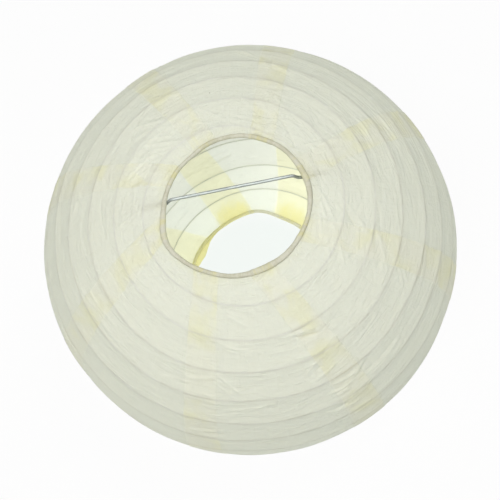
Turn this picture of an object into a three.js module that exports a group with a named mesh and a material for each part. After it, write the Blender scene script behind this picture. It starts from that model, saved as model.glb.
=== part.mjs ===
// Accordion paper lantern: eight pasted paper gores over one helical rib wire,
// a wire ring folded into the paper at each neck, and a bent wire that holds the rings apart.
// Millimetres, +Z up, origin at the middle of the bottom rim, which the lantern stands on.

import * as THREE from "three";
import { mergeVertices } from "three/addons/utils/BufferGeometryUtils.js";

// Driving dimensions
const globeRadius = 150; // widest radius of the paper
const globePoleHeight = 127.5; // from the widest level to where the uncut globe would close
const topRingRadius = 43.5; // to the middle of the wire
const bottomRingRadius = 59.5; // to the middle of the wire
const seatGap = 0.3; // between pieces that touch

// Paper
const paperThickness = 0.3;
const goreCount = 8;
const lapWidth = 15; // pasted overlap of one gore on the next
const joggleWidth = 2; // in which the upper gore steps down off the lower one
const firstSeamAzimuth = THREE.MathUtils.degToRad(62);
const goreStrips = 4; // flat strips between a gore's two laps
const narrowestBand = 1.5; // least height of a paper band beside a hem

// Rib wire, one left-handed helix
const ribWireRadius = 0.5;
const ribTurns = 14.75;
const ribTopMargin = 4.3; // from the paper's cut end to the wire's end, along the profile
const ribBottomMargin = 2.3;
const ribRunIn = 1.6; // how much nearer the hem the first stretch starts
const ribRunInTurns = 0.1;
const ribLoopSteps = 24;
const ribSides = 6;

// Rings and their hems
const ringWireRadius = 0.8;
const hemThickness = 0.4; // two layers of paper and the paste
const hemSides = 8;
const ringSteps = 36;

// Expander, one bent wire in a plane beside the axis
const expanderWireRadius = 1;
const expanderOffset = 8.5; // from the axis to the wire's plane
const barRise = 3.7; // of the bar above the top ring
const neckLean = THREE.MathUtils.degToRad(31); // from upright, of the stretch inside the top ring
const shoulderFall = THREE.MathUtils.degToRad(25); // from level, of the stretch under the top ring
const legInset = 3.9; // of each leg from the middle of the bottom ring's wire
const footReach = 2; // of each foot's end past the bottom ring
const barBendRadius = 3;
const legBendRadius = 7;
const footBendRadius = 3.5;
const bendSteps = 4;
const wireSides = 8;

// Profile of the paper: a spheroid, read by the length down it from the uncut top
const profileSteps = 1440;
const halfTurn = Math.PI;
const fullTurn = 2 * Math.PI;
const profileLengths = measureProfile();
const profileLength = profileLengths[profileSteps];

function measureProfile() {
  const lengths = [0];
  const step = halfTurn / profileSteps;
  for (let i = 1; i <= profileSteps; i++) {
    const middle = (i - 0.5) * step;
    const outward = globeRadius * Math.cos(middle);
    const downward = globePoleHeight * Math.sin(middle);
    lengths.push(lengths[i - 1] + Math.hypot(outward, downward) * step);
  }
  return lengths;
}

function angleAt(length) {
  let i = 1;
  while (i < profileSteps && profileLengths[i] < length) i++;
  const share = (length - profileLengths[i - 1]) / (profileLengths[i] - profileLengths[i - 1]);
  return ((i - 1 + share) * halfTurn) / profileSteps;
}

function lengthToRadius(radius) {
  const place = (Math.asin(radius / globeRadius) * profileSteps) / halfTurn;
  const i = Math.floor(place);
  return profileLengths[i] + (place - i) * (profileLengths[i + 1] - profileLengths[i]);
}

// A point of the profile as (radius, height above the widest level), moved out of the paper by lift
function profilePoint(length, lift) {
  const angle = angleAt(length);
  const normal = new THREE.Vector2(
    globePoleHeight * Math.sin(angle),
    globeRadius * Math.cos(angle),
  ).normalize();
  const radius = globeRadius * Math.sin(angle) + lift * normal.x;
  const height = globePoleHeight * Math.cos(angle) + lift * normal.y;
  return new THREE.Vector2(radius, height);
}

function onGlobe(length, azimuth, lift) {
  const point = profilePoint(length, lift);
  return new THREE.Vector3(
    point.x * Math.cos(azimuth),
    point.x * Math.sin(azimuth),
    point.y,
  );
}

// What fits what
const hemHalf = ringWireRadius + seatGap + hemThickness; // from the ring's middle to the hem's flats
const topRingHeight = globePoleHeight * Math.sqrt(1 - (topRingRadius / globeRadius) ** 2);
const bottomRingHeight = -globePoleHeight * Math.sqrt(1 - (bottomRingRadius / globeRadius) ** 2);
const globeCentreHeight = hemHalf - bottomRingHeight;
const topCut = lengthToRadius(cutRadius(topRingRadius));
const bottomCut = profileLength - lengthToRadius(cutRadius(bottomRingRadius));
const ribStart = topCut + ribTopMargin;
const ribPitch = (bottomCut - ribBottomMargin - ribStart) / ribTurns;
const lapLift = paperThickness + seatGap;

// The paper is cut where the flat strip of a lap just clears the hem
function cutRadius(ringRadius) {
  const hemRadius = ringRadius + hemHalf;
  return (hemRadius + seatGap) / Math.cos(lapWidth / 2 / hemRadius);
}

// Length down the profile at which the rib wire crosses, after so many turns from its start
function ribLength(turns) {
  const runIn = Math.max(0, 1 - Math.max(turns, 0) / ribRunInTurns);
  return ribStart + ribPitch * turns - ribRunIn * runIn ** 2;
}

// Meshes

function solidMesh(name, geometry, material) {
  geometry.deleteAttribute("normal");
  geometry.deleteAttribute("uv");
  const merged = mergeVertices(geometry);
  merged.computeVertexNormals();
  const mesh = new THREE.Mesh(merged, material);
  mesh.name = name;
  return mesh;
}

function paperMaterial(colour) {
  return new THREE.MeshStandardMaterial({ color: colour, roughness: 0.92, metalness: 0 });
}

function wireMaterial(colour) {
  return new THREE.MeshStandardMaterial({ color: colour, roughness: 0.38, metalness: 1 });
}

// A section of flat sides around the middle of a wire, one side facing straight down
function flatSection(flatDistance, sides, first, last) {
  const corner = flatDistance / Math.cos(halfTurn / sides);
  const points = [];
  for (let i = first; i <= last; i++) {
    const angle = ((i + 0.5) * fullTurn) / sides;
    points.push(new THREE.Vector2(corner * Math.cos(angle), corner * Math.sin(angle)));
  }
  return points;
}

function revolve(profile, radius) {
  const points = profile.map((p) => new THREE.Vector2(p.x + radius, p.y));
  points.push(points[0].clone());
  const geometry = new THREE.LatheGeometry(points, ringSteps);
  geometry.rotateX(halfTurn / 2);
  return geometry;
}

function ringWire(name, radius) {
  const section = flatSection(ringWireRadius, hemSides, 0, hemSides - 1);
  return solidMesh(name, revolve(section, radius), wireMaterial(0x9aa3ab));
}

// The paper folded round a ring, open along one slanted side where its end is pasted down
function foldedHem(name, radius, openSide) {
  const first = openSide;
  const last = openSide + hemSides - 1;
  const outside = flatSection(hemHalf, hemSides, first, last);
  const inside = flatSection(hemHalf - hemThickness, hemSides, first, last);
  return solidMesh(name, revolve([...outside, ...inside.reverse()], radius), paperMaterial(0xb9b7a0));
}

// A closed sheet between two grids of points, rows down the paper and columns round it
function sheetGeometry(outside, inside) {
  const rows = outside.length;
  const columns = outside[0].length;
  const positions = [];
  for (const side of [outside, inside]) {
    for (const row of side) {
      for (const point of row) positions.push(point.x, point.y, point.z);
    }
  }
  const outer = (row, column) => row * columns + column;
  const inner = (row, column) => (rows + row) * columns + column;
  const index = [];
  const face = (a, b, c, d) => index.push(a, b, c, a, c, d);
  for (let i = 0; i < rows - 1; i++) {
    for (let j = 0; j < columns - 1; j++) {
      face(outer(i, j), outer(i + 1, j), outer(i + 1, j + 1), outer(i, j + 1));
      face(inner(i, j), inner(i, j + 1), inner(i + 1, j + 1), inner(i + 1, j));
    }
    face(outer(i, 0), inner(i, 0), inner(i + 1, 0), outer(i + 1, 0));
    const right = columns - 1;
    face(outer(i, right), outer(i + 1, right), inner(i + 1, right), inner(i, right));
  }
  for (let j = 0; j < columns - 1; j++) {
    face(outer(0, j), outer(0, j + 1), inner(0, j + 1), inner(0, j));
    const bottom = rows - 1;
    face(outer(bottom, j), inner(bottom, j), inner(bottom, j + 1), outer(bottom, j + 1));
  }
  const geometry = new THREE.BufferGeometry();
  geometry.setAttribute("position", new THREE.Float32BufferAttribute(positions, 3));
  geometry.setIndex(index);
  return geometry;
}

// Where each turn of the rib wire crosses a gore: its turns at the gore's left seam
function ribCrossings(gore) {
  const leftTurns = gore / goreCount;
  const crossings = [];
  for (let turn = -1; turn <= Math.ceil(ribTurns); turn++) {
    const left = ribLength(turn + leftTurns);
    const right = ribLength(turn + leftTurns + 1 / goreCount);
    const inside = right > topCut + narrowestBand && left < bottomCut - narrowestBand;
    if (inside) crossings.push(turn + leftTurns);
  }
  return crossings;
}

// Azimuths across a gore, from the left seam, and how far each is lifted off the gore below
function goreColumns(leftRadius, rightRadius) {
  const goreAngle = fullTurn / goreCount;
  const leftLap = lapWidth / 2 / leftRadius;
  const rightLap = lapWidth / 2 / rightRadius;
  const bodyStart = leftLap + joggleWidth / leftRadius;
  const bodyEnd = goreAngle - rightLap;
  const columns = [
    { azimuth: -leftLap, lift: lapLift },
    { azimuth: leftLap, lift: lapLift },
  ];
  for (let i = 0; i <= goreStrips; i++) {
    const share = i / goreStrips;
    columns.push({ azimuth: bodyStart + (bodyEnd - bodyStart) * share, lift: 0 });
  }
  columns.push({ azimuth: goreAngle + rightLap, lift: 0 });
  return columns;
}

// One row of points across a gore; lengthAt gives the place down the profile after so many turns
function goreRow(gore, lengthAt, side) {
  const seamTurns = gore / goreCount;
  const leftRadius = profilePoint(lengthAt(0), 0).x;
  const rightRadius = profilePoint(lengthAt(1 / goreCount), 0).x;
  return goreColumns(leftRadius, rightRadius).map((column) => {
    const azimuth = firstSeamAzimuth + seamTurns * fullTurn + column.azimuth;
    const lift = column.lift + (side * paperThickness) / 2;
    return onGlobe(lengthAt(column.azimuth / fullTurn), azimuth, lift);
  });
}

// A paper gore, creased over every turn of the rib wire and straight in between
function paperGore(gore) {
  const rowLengths = [() => topCut];
  for (const crossing of ribCrossings(gore)) {
    rowLengths.push((turns) => {
      const length = ribLength(crossing + turns);
      return THREE.MathUtils.clamp(length, topCut + narrowestBand, bottomCut - narrowestBand);
    });
  }
  rowLengths.push(() => bottomCut);
  const outside = rowLengths.map((lengthAt) => goreRow(gore, lengthAt, 1));
  const inside = rowLengths.map((lengthAt) => goreRow(gore, lengthAt, -1));
  const name = "paper_gore_" + (gore + 1);
  return solidMesh(name, sheetGeometry(outside, inside), paperMaterial(0xe3e3d2));
}

// A path that an extrusion follows station by station
class StationPath extends THREE.Curve {
  constructor(stations) {
    super();
    this.stations = stations;
  }

  getPoint(share) {
    const last = this.stations.length - 1;
    const place = THREE.MathUtils.clamp(share, 0, 1) * last;
    const before = Math.min(Math.floor(place), last - 1);
    return this.stations[before].clone().lerp(this.stations[before + 1], place - before);
  }

  getPointAt(share) {
    return this.getPoint(share);
  }

  getTangentAt(share) {
    const last = this.stations.length - 1;
    const station = Math.round(share * last);
    const before = this.stations[Math.max(station - 1, 0)];
    const after = this.stations[Math.min(station + 1, last)];
    return after.clone().sub(before).normalize();
  }
}

function wireAlong(stations, radius, sides) {
  const section = new THREE.Shape();
  for (let i = 0; i < sides; i++) {
    const angle = (i * fullTurn) / sides;
    const x = radius * Math.cos(angle);
    const y = radius * Math.sin(angle);
    if (i === 0) section.moveTo(x, y);
    else section.lineTo(x, y);
  }
  section.closePath();
  return new THREE.ExtrudeGeometry(section, {
    steps: stations.length - 1,
    bevelEnabled: false,
    extrudePath: new StationPath(stations),
  });
}

// The rib wire lies inside the paper, clear of the flat strips that cut inside the round
function ribStations() {
  const steps = Math.round(ribTurns * ribLoopSteps);
  const stations = [];
  for (let i = 0; i <= steps; i++) {
    const turns = i / ribLoopSteps;
    const length = ribLength(turns);
    const radius = profilePoint(length, 0).x;
    const stripHalf = Math.max(lapWidth / 2 / radius, halfTurn / goreCount / goreStrips);
    const stripDepth = radius * (1 - Math.cos(stripHalf));
    const depth = paperThickness / 2 + seatGap + ribWireRadius + stripDepth;
    stations.push(onGlobe(length, firstSeamAzimuth + turns * fullTurn, -depth));
  }
  return withStraightEnds(stations, 2 * ribWireRadius);
}

function withStraightEnds(stations, length) {
  const first = stations[0];
  const last = stations[stations.length - 1];
  const lead = first.clone().sub(stations[1]).setLength(length).add(first);
  const tail = last.clone().sub(stations[stations.length - 2]).setLength(length).add(last);
  return [lead, ...stations, tail];
}

// Least gap from one turn of the wire to the next, measured between its stations
function leastTurnGap(stations) {
  let least = Infinity;
  for (let i = 0; i < stations.length; i++) {
    for (let j = i + ribLoopSteps / 2; j < stations.length; j++) {
      least = Math.min(least, stations[i].distanceTo(stations[j]));
    }
  }
  return least - 2 * ribWireRadius;
}

function ribHelix() {
  const stations = ribStations();
  console.log("rib_helix least gap to itself, mm: " + leastTurnGap(stations).toFixed(2));
  return solidMesh("rib_helix", wireAlong(stations, ribWireRadius, ribSides), wireMaterial(0x8f9694));
}

// A route through corners, each rounded by an arc of its own radius
function roundedRoute(corners) {
  const stations = [corners[0].point];
  for (let i = 1; i < corners.length - 1; i++) {
    const { point, bend } = corners[i];
    const back = corners[i - 1].point.clone().sub(point).normalize();
    const ahead = corners[i + 1].point.clone().sub(point).normalize();
    const turn = halfTurn - back.angleTo(ahead);
    const centreDistance = bend / Math.cos(turn / 2);
    const centre = back.clone().add(ahead).setLength(centreDistance).add(point);
    const start = back.clone().multiplyScalar(bend * Math.tan(turn / 2)).add(point);
    const axis = ahead.clone().cross(back).normalize();
    const spoke = start.sub(centre);
    for (let j = 0; j <= bendSteps; j++) {
      const angle = (turn * j) / bendSteps;
      stations.push(spoke.clone().applyAxisAngle(axis, angle).add(centre));
    }
  }
  stations.push(corners[corners.length - 1].point);
  return stations;
}

// The neck and the shoulder pass the top ring at one distance, so that it sits in their bend
function seatCorner(ringHalf, seatDistance) {
  const inward = seatDistance * (Math.cos(shoulderFall) - Math.sin(neckLean));
  const downward = seatDistance * (Math.cos(neckLean) - Math.sin(shoulderFall));
  const opening = Math.cos(neckLean + shoulderFall);
  return { x: ringHalf - inward / opening, z: topRingHeight - downward / opening, bend: seatDistance };
}

function expanderCorners() {
  const seatDistance = hemHalf + seatGap + expanderWireRadius;
  const topHalf = Math.sqrt(topRingRadius ** 2 - expanderOffset ** 2);
  const bottomHalf = Math.sqrt(bottomRingRadius ** 2 - expanderOffset ** 2);
  const seat = seatCorner(topHalf, seatDistance);
  const barHeight = topRingHeight + barRise;
  const barHalf = seat.x - (barHeight - seat.z) * Math.tan(neckLean);
  const legHalf = bottomHalf - legInset;
  const legTop = seat.z - (legHalf - seat.x) * Math.tan(shoulderFall);
  const footHeight = bottomRingHeight + seatDistance;
  const half = [
    { x: barHalf, z: barHeight, bend: barBendRadius },
    seat,
    { x: legHalf, z: legTop, bend: legBendRadius },
    { x: legHalf, z: footHeight, bend: footBendRadius },
    { x: bottomHalf + footReach, z: footHeight, bend: 0 },
  ];
  const corner = (c, side) => ({
    point: new THREE.Vector3(side * c.x, expanderOffset, c.z),
    bend: c.bend,
  });
  const left = half.map((c) => corner(c, -1)).reverse();
  const right = half.map((c) => corner(c, 1));
  return [...left, ...right];
}

function wireExpander() {
  const stations = roundedRoute(expanderCorners());
  return solidMesh("wire_expander", wireAlong(stations, expanderWireRadius, wireSides), wireMaterial(0xaab4bd));
}

// Assembly
const lantern = new THREE.Group();
lantern.position.z = globeCentreHeight;

for (let gore = 0; gore < goreCount; gore++) lantern.add(paperGore(gore));
lantern.add(ribHelix());

const topRing = ringWire("top_ring", topRingRadius);
const topHem = foldedHem("top_hem", topRingRadius, hemSides - 1);
for (const piece of [topRing, topHem]) {
  piece.position.z = topRingHeight;
  lantern.add(piece);
}

const bottomRing = ringWire("bottom_ring", bottomRingRadius);
const bottomHem = foldedHem("bottom_hem", bottomRingRadius, 1);
for (const piece of [bottomRing, bottomHem]) {
  piece.position.z = bottomRingHeight;
  lantern.add(piece);
}

lantern.add(wireExpander());

export default lantern;
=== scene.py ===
import math
import random

import bmesh
import bpy
import numpy as np
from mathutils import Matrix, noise


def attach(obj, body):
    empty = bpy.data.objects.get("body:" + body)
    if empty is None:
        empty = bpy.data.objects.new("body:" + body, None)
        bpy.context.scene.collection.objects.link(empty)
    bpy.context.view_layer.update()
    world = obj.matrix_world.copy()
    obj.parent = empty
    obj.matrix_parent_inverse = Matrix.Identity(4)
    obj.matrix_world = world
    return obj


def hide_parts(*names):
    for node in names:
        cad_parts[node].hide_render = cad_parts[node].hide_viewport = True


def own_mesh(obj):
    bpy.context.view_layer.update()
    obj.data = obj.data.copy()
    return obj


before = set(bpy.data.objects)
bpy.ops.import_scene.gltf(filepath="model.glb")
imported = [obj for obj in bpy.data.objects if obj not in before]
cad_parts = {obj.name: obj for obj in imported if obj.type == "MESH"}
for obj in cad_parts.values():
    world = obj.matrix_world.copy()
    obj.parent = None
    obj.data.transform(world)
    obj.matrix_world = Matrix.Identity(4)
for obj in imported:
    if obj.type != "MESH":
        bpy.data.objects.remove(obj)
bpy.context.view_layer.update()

# sizes in millimetres and degrees, the same as in the part's source
lantern = {
    "globeRadius": 150.0,
    "poleHeight": 127.5,
    "topRing": 43.5,
    "bottomRing": 59.5,
    "hemHalf": 1.5,
    "gores": 8,
    "firstSeam": 62.0,
    "lapWidth": 15.0,
    "joggle": 2.0,
    "ribTurns": 14.75,
    "ribTopMargin": 4.3,
    "ribBottomMargin": 2.3,
    "ribRunIn": 1.6,
    "ribRunInTurns": 0.1,
}
mm = 0.001
fullTurn = 2 * math.pi
goreAngle = fullTurn / lantern["gores"]
firstSeam = math.radians(lantern["firstSeam"])


# profile of the globe, read by the length down it from the uncut top
profileSteps = 1440
profileAngles = np.linspace(0, math.pi, profileSteps + 1)
middles = (profileAngles[1:] + profileAngles[:-1]) / 2
stepLengths = np.hypot(
    lantern["globeRadius"] * np.cos(middles), lantern["poleHeight"] * np.sin(middles)
) * (math.pi / profileSteps)
profileLengths = np.concatenate(([0.0], np.cumsum(stepLengths)))
profileEnd = profileLengths[-1]


def lengthAtRadius(radius):
    return float(np.interp(math.asin(radius / lantern["globeRadius"]), profileAngles, profileLengths))


def ringHeight(radius):
    return lantern["poleHeight"] * math.sqrt(1 - (radius / lantern["globeRadius"]) ** 2)


centreHeight = lantern["hemHalf"] + ringHeight(lantern["bottomRing"])
topRingZ = centreHeight + ringHeight(lantern["topRing"])
bottomRingZ = lantern["hemHalf"]


def cutLength(ringRadius):
    hemRadius = ringRadius + lantern["hemHalf"]
    return lengthAtRadius((hemRadius + 0.3) / math.cos(lantern["lapWidth"] / 2 / hemRadius))


topCut = cutLength(lantern["topRing"])
bottomCut = profileEnd - cutLength(lantern["bottomRing"])
ribStart = topCut + lantern["ribTopMargin"]
ribPitch = (bottomCut - lantern["ribBottomMargin"] - ribStart) / lantern["ribTurns"]


def profileAt(down):
    angle = np.interp(down, profileLengths, profileAngles)
    radius = lantern["globeRadius"] * np.sin(angle)
    height = lantern["poleHeight"] * np.cos(angle) + centreHeight
    return radius, height


def outwardAt(down):
    angle = np.interp(down, profileLengths, profileAngles)
    outward = lantern["poleHeight"] * np.sin(angle)
    upward = lantern["globeRadius"] * np.cos(angle)
    size = np.hypot(outward, upward)
    return outward / size, upward / size


def smooth(value, low, high):
    share = np.clip((value - low) / (high - low), 0, 1)
    return share * share * (3 - 2 * share)


def angleGap(azimuth, other):
    return (azimuth - other + math.pi) % fullTurn - math.pi


def noiseField(x, y, z):
    shape = np.shape(x)
    points = np.stack([np.ravel(x), np.ravel(y), np.ravel(z)], axis=1).tolist()
    return np.array([noise.noise(p) for p in points]).reshape(shape)


def noiseRound(scale, azimuth, level):
    # noise on a cylinder, so that it meets itself after a full turn
    level = np.broadcast_to(level, np.shape(azimuth))
    return noiseField(scale * np.cos(azimuth), scale * np.sin(azimuth), level)


def around(radius, azimuth, height):
    parts = np.broadcast_arrays(radius * np.cos(azimuth), radius * np.sin(azimuth), height)
    return np.stack(parts, axis=-1)


# the hand-made lantern isn't quite round: the same for the paper, the rib wire and the rings
shapeWander = {
    "slow": 0.9,
    "quick": 0.3,
    # how far each ring is bent outward, every 20 degrees
    "topBend": (
        2.2, 1.4, 1.1, -0.1, -1.2, -2.2, -3.5, -2.6, -1.4, 0.5, 4.0, 2.8, 1.5, 1.3, 0.5, 0.8, 0.9, 1.4,
    ),
    "bottomBend": (
        -0.4, -1.4, -2.4, -2.9, -0.3, -2.4, -3.1, -2.1, -0.5, 0.3, 0.8, 0.3, 0.2, 0.8, 0.4, -0.2, 0.1, 0.2,
    ),
    "ribDrop": -5.5,  # the lowest turns sit further up on the far side
    "ribDropAt": 169.0,
    "ribDropWide": 42.0,
    "ribNudge": -2.8,  # one turn was laid a little high
    "ribNudgeAt": 12.08,
}


def ringWander(azimuth, top):
    # a smooth curve through the bends
    bends = np.array(shapeWander["topBend" if top else "bottomBend"])
    place = np.degrees(azimuth) / 360 * len(bends)
    first = np.floor(place).astype(int)
    share = place - first
    a, b, c, d = (bends[(first + k) % len(bends)] for k in (-1, 0, 1, 2))
    curve = b + 0.5 * share * (c - a + share * (2 * a - 5 * b + 4 * c - d + share * (3 * (b - c) + d - a)))
    seed = 3.1 if top else 8.7
    return curve + 0.35 * noiseRound(2.2, azimuth, seed)


def wanderAt(down, azimuth):
    slow = shapeWander["slow"] * noiseRound(1.7, azimuth, down / 48)
    quick = shapeWander["quick"] * noiseRound(5, azimuth, down / 17 + 40)
    free = smooth(down, topCut, topCut + 30) * smooth(-down, -bottomCut, -bottomCut + 30)
    nearTop = 1 - smooth(down, topCut - 2, topCut + 16)
    nearBottom = smooth(down, bottomCut - 16, bottomCut + 2)
    rings = nearTop * ringWander(azimuth, True) + nearBottom * ringWander(azimuth, False)
    return (slow + quick) * free + rings


# how far each seam strays from its even place, in degrees, at the neck, the widest level and the foot
seamPlan = {
    "stray": [
        (-4, 7, -12.5), (-1, 6, -6.2), (-7, 5.6, -4), (-7.5, 6.4, -3),
        (-3.6, 6.2, -3), (-4.6, 6.9, -3), (-4, 5, -6), (-1, 5.4, -9),
    ],
    "quickness": 0.22,  # how soon the seam leaves its place at the neck
    "footCurve": 2.4,
    "lapLevels": (topCut, 135.0, 218.0, 313.0, bottomCut),
    "lapHalf": (7.8, 10.6, 13.0, 15.4, 16.6),  # half the lap's width at those levels
}


def seamStray(seam, down):
    neck, widest, foot = seamPlan["stray"][seam % lantern["gores"]]
    upper = np.clip((down - topCut) / (profileEnd / 2 - topCut), 0, 1)
    lower = np.clip((down - profileEnd / 2) / (bottomCut - profileEnd / 2), 0, 1)
    quick = seamPlan["quickness"]
    share = (1 - np.exp(-upper / quick)) / (1 - math.exp(-1 / quick))
    return np.radians(neck + (widest - neck) * share + (foot - widest) * lower ** seamPlan["footCurve"])


def lapHalf(down):
    return np.interp(down, seamPlan["lapLevels"], seamPlan["lapHalf"])


def ribDown(turns):
    azimuth = firstSeam + turns * fullTurn
    runIn = np.maximum(0, 1 - np.maximum(turns, 0) / lantern["ribRunInTurns"])
    even = ribStart + ribPitch * turns - lantern["ribRunIn"] * runIn**2
    gap = np.degrees(angleGap(azimuth, math.radians(shapeWander["ribDropAt"])))
    drop = shapeWander["ribDrop"] * np.exp(-((gap / shapeWander["ribDropWide"]) ** 2))
    nudge = shapeWander["ribNudge"] * np.exp(-(((turns - shapeWander["ribNudgeAt"]) / 0.3) ** 2))
    return even + drop * smooth(turns, 11.3, 13.0) + nudge


# creases that folding and pasting have left in the paper: azimuth and length down of both ends, depth
knownCreases = [
    (279, 87.6, 291.5, 90.9, 1), (281.2, 104, 294.1, 109.5, 1), (282.3, 117.6, 286.4, 113, 0.7),
    (286.5, 141.5, 294.1, 141.1, 1), (288.3, 134.3, 296.2, 136, 0.9), (294.5, 138.8, 300.1, 131, 0.7),
    (284.1, 159.3, 292.4, 163.5, 1), (282.4, 125.3, 290.7, 122.1, 0.8), (298.6, 144.1, 311.5, 144.6, 0.8),
    (287.1, 154.1, 295.1, 153.3, 0.8), (242.1, 114.9, 252, 110.2, 0.7), (250.8, 105.4, 260.1, 122.1, 0.8),
    (255.7, 88.8, 267.8, 93.7, 0.6), (249.4, 130.3, 256.5, 130.6, 0.9), (255.4, 69.2, 266.2, 76.5, 0.5),
    (256.4, 136.9, 269.4, 133, 0.8), (245.8, 124.7, 251.6, 125.1, 0.6), (243.1, 165, 253.8, 160, 0.7),
    (257.4, 169.8, 264.3, 172.3, 0.6), (196.6, 114.9, 210.5, 112.4, 0.7), (154.5, 123.5, 165.5, 107.6, 0.6),
    (178.1, 75.6, 172.9, 62.3, 0.6), (160.9, 78.9, 148.4, 62, 0.6), (205, 120.1, 216.5, 119.9, 0.6),
    (131.3, 92.7, 116.9, 74.5, 0.8), (134.8, 72.6, 118.7, 53.9, 0.7), (153.5, 73, 137.7, 64.2, 0.7),
    (116.4, 102.5, 105.2, 91.8, 0.7), (133.6, 84.4, 122, 73.6, 0.5), (142, 69.5, 127.3, 53.4, 0.5),
    (103.4, 75, 89.6, 59.6, 0.5), (81.3, 139.8, 70.9, 117.9, 0.9), (70.9, 117.9, 61.7, 111.1, 0.9),
    (62.6, 82.1, 53.7, 70.8, 0.7), (84.2, 56.9, 60.9, 52.9, 0.4), (30.1, 56.6, 22.7, 83.4, 0.7),
    (35.6, 91.8, 25.9, 90.1, 0.8), (31.2, 105.4, 16.5, 102.2, 0.7), (27.7, 125.3, 13.5, 126.9, 0.8),
    (16.7, 78.4, 8.3, 85.6, 0.6), (358.3, 50.3, 340.1, 60.9, 0.8), (350.1, 47.7, 323.4, 58.3, 0.8),
    (335.6, 61.9, 319.3, 77.8, 0.8), (349.7, 69.4, 339.1, 84.2, 0.6), (340.4, 91.2, 326.5, 106.7, 0.8),
    (331.4, 113.3, 325.5, 123.9, 0.7), (341.9, 154, 331.3, 156.8, 0.7), (327.7, 59.1, 317.5, 68.6, 0.6),
    (322.4, 130.3, 312.5, 133.4, 0.6),
]
creasePlan = {
    "seed": 27,
    "depth": 1.35,
    "companions": 2,
    "belowFrom": 165.0,  # from here down the creases are strewn at random, most of them at the laps
    "perLapBand": 3,
    "scattered": 90,
    "width": (0.75, 1.3),
    "reach": (9, 30),
}


def planCreases():
    plan = creasePlan
    dice = random.Random(plan["seed"])
    creases = []

    def crease(azimuth, down, turn, height, reach):
        creases.append({
            "azimuth": azimuth, "down": down, "turn": turn, "height": height * plan["depth"],
            "width": dice.uniform(*plan["width"]), "reach": reach,
        })

    for azimuth1, down1, azimuth2, down2, depth in knownCreases:
        azimuth = math.radians((azimuth1 + azimuth2) / 2)
        down = (down1 + down2) / 2
        radius = float(profileAt(down)[0])
        along = math.radians(azimuth2 - azimuth1) * radius
        turn = math.atan2(down2 - down1, along)
        reach = 0.62 * math.hypot(along, down2 - down1)
        crease(azimuth, down, turn, depth, reach)
        for k in range(plan["companions"]):
            aside = dice.choice((-1, 1)) * dice.uniform(2.6, 5.5) if k else dice.uniform(2.6, 4.2)
            shift = dice.uniform(-0.5, 0.5) * reach
            x = shift * math.cos(turn) - aside * math.sin(turn)
            y = shift * math.sin(turn) + aside * math.cos(turn)
            height = depth * dice.uniform(0.35, 0.8) * dice.choice((-1, 1, 1))
            sway = dice.gauss(0, 0.12)
            crease(azimuth + x / radius, down + y, turn + sway, height, reach * dice.uniform(0.5, 0.95))
    for seam in range(lantern["gores"]):
        for band in range(5, 15):
            strength = dice.uniform(0.3, 1.0)
            for _ in range(plan["perLapBand"]):
                down = ribStart + ribPitch * (band + seam / 8 + dice.uniform(0.15, 0.85))
                azimuth = firstSeam + seam * goreAngle + float(seamStray(seam, down)) + dice.gauss(0, 0.11)
                turn = math.radians(dice.gauss(9, 9))
                height = strength * dice.uniform(0.4, 1.0) * dice.choice((-1, 1, 1))
                if plan["belowFrom"] < down < bottomCut - 30:
                    crease(azimuth, down, turn, height, dice.uniform(*plan["reach"]))
    for _ in range(plan["scattered"]):
        turn = math.radians(dice.gauss(0, 22))
        height = dice.uniform(0.15, 0.45) * dice.choice((-1, 1))
        azimuth = dice.uniform(0, fullTurn)
        down = dice.uniform(topCut, bottomCut - 40)
        crease(azimuth, down, turn, height, dice.uniform(*plan["reach"]))
    return creases


creases = planCreases()


def creaseField(down, azimuth, radius):
    total = np.zeros_like(down)
    low, high = down.min() - 40, down.max() + 40
    for crease in creases:
        if not low < crease["down"] < high:
            continue
        across = angleGap(azimuth, crease["azimuth"])
        if np.abs(across).min() > 0.9:
            continue
        x = across * radius
        y = down - crease["down"]
        along = x * math.cos(crease["turn"]) + y * math.sin(crease["turn"])
        aside = y * math.cos(crease["turn"]) - x * math.sin(crease["turn"])
        window = np.clip(1 - (along / crease["reach"]) ** 4, 0, 1)
        total += crease["height"] * window * np.exp(-np.abs(aside) / crease["width"])
    return total


paperPlan = {
    "rowsPerBand": 30,
    "lapColumns": 16,
    "bodyColumns": 100,
    "lapLift": 0.24,
    "sag": 0.5,  # of each band between its ribs
    "foldShare": 0.3,  # of that sag that is a fold along the middle
    "ribRidge": 0.06,  # the paper stands over the wire
    "crinkle": 0.2,
    "ripple": 0.18,
    "pastRing": 0.6,  # the gore ends this far outside the middle of the ring's wire
}


def goreLines(gore):
    # the rib wire's turns at the left seam of this gore, from its neck to its foot
    seamTurns = gore / lantern["gores"]
    crossings = []
    for turn in range(-1, 16):
        left = float(ribDown(np.array(turn + seamTurns)))
        right = float(ribDown(np.array(turn + seamTurns + 1 / lantern["gores"])))
        if right > topCut + 2.0 and left < bottomCut - 2.0:
            crossings.append(turn + seamTurns)
    return crossings


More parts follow.
